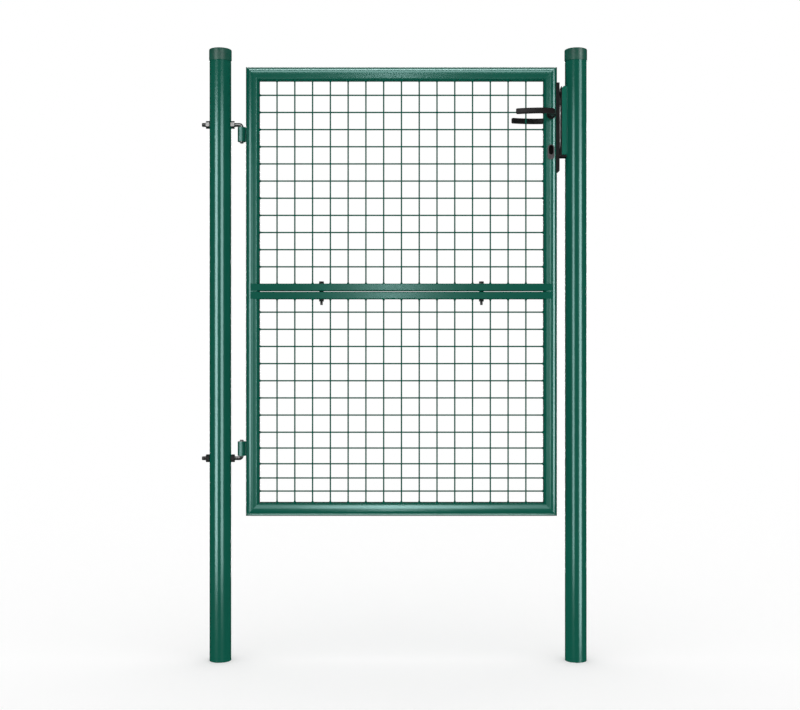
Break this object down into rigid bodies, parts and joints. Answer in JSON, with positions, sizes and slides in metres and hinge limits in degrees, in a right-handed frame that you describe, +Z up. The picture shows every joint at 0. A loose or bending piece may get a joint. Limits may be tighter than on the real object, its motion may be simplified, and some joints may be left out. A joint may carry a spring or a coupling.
{
  "type": "pedestrian mesh gate",
  "caption": "Hinged single-leaf steel gate with welded mesh panels, two round posts, gudgeon-pin hinges and a lever-handle lock.",
  "frame": {"origin": "centre of the foot of the hinge post, on the ground end of the post", "axes": "+X from the hinge post to the latch post, +Z up the posts, +Y from the front of the gate to its back; the leaf opens towards -Y"},
  "size_m": [1.0831, 0.16, 1.717],
  "materials": {
    "green_paint": "semi-gloss powder coat",
    "cap_paint": "satin",
    "zinc": "zinc plated",
    "plain_steel": "plain",
    "grey_metal": "satin",
    "black_plastic": "satin"
  },
  "bodies": {
    "posts": {"hinge_post": "green_paint", "latch_post": "green_paint", "hinge_post_cap": "cap_paint", "latch_post_cap": "cap_paint", "upper_hinge_bolt": "zinc", "lower_hinge_bolt": "zinc", "hinge_outer_nuts": "zinc", "hinge_inner_nuts": "zinc", "strike_bracket": "green_paint", "strike_plate": "black_plastic", "strike_screws": "zinc", "rear_stop": "black_plastic"},
    "leaf": {"top_rail": "green_paint", "bottom_rail": "green_paint", "upper_mid_rail": "green_paint", "lower_mid_rail": "green_paint", "upper_hinge_stile": "green_paint", "upper_latch_stile": "green_paint", "lower_hinge_stile": "green_paint", "lower_latch_stile": "green_paint", "stile_sleeves": "plain_steel", "upper_hinge_eye": "green_paint", "lower_hinge_eye": "green_paint", "upper_upright_wires": "green_paint", "upper_level_wires": "green_paint", "lower_upright_wires": "green_paint", "lower_level_wires": "green_paint", "rail_bolts": "zinc", "rail_washers": "zinc", "rail_spacers": "black_plastic", "rail_nuts": "zinc", "lock_case": "plain_steel", "lock_cover": "plain_steel", "lock_cover_screws": "zinc", "lock_faceplate": "black_plastic", "faceplate_screws": "zinc", "front_rose": "black_plastic", "rear_rose": "black_plastic", "front_escutcheon": "grey_metal", "rear_escutcheon": "grey_metal", "lock_cylinder": "black_plastic", "latch_spring": "plain_steel"},
    "handles": {"follower": "plain_steel", "spindle": "plain_steel", "front_handle": "black_plastic", "rear_handle": "black_plastic", "handle_grub_screws": "zinc"},
    "latch": {"latch_bolt": "zinc"},
    "bolt": {"deadbolt": "plain_steel"},
    "key": {"key_plug": "grey_metal"}
  },
  "joints": [
    {"name": "gate_swing", "type": "hinge", "parent": "posts", "child": "leaf", "pos_m": [0.06, 0, 1], "axis": [0, 0, -1], "range_deg": [0, 105]},
    {"name": "handle_turn", "type": "hinge", "parent": "leaf", "child": "handles", "pos_m": [0.928, 0, 1.531], "axis": [0, -1, 0], "range_deg": [0, 40], "stiffness_Nm_per_rad": 0.6, "springref_deg": -14.32},
    {"name": "latch_slide", "type": "slide", "parent": "leaf", "child": "latch", "axis": [-1, 0, 0], "range_m": [0, 0.01], "deforming": ["latch_spring"]},
    {"name": "key_turn", "type": "hinge", "parent": "leaf", "child": "key", "pos_m": [0.928, 0, 1.439], "axis": [0, 1, 0], "range_deg": [0, 90]},
    {"name": "bolt_slide", "type": "slide", "parent": "leaf", "child": "bolt", "axis": [1, 0, 0], "range_m": [0, 0.012]}
  ],
  "couplings": [
    {"joint": "latch_slide", "follows": "handle_turn", "m_per_rad": 0.01432},
    {"joint": "key_turn", "follows": "bolt_slide", "rad_per_m": 130.89}
  ]
}
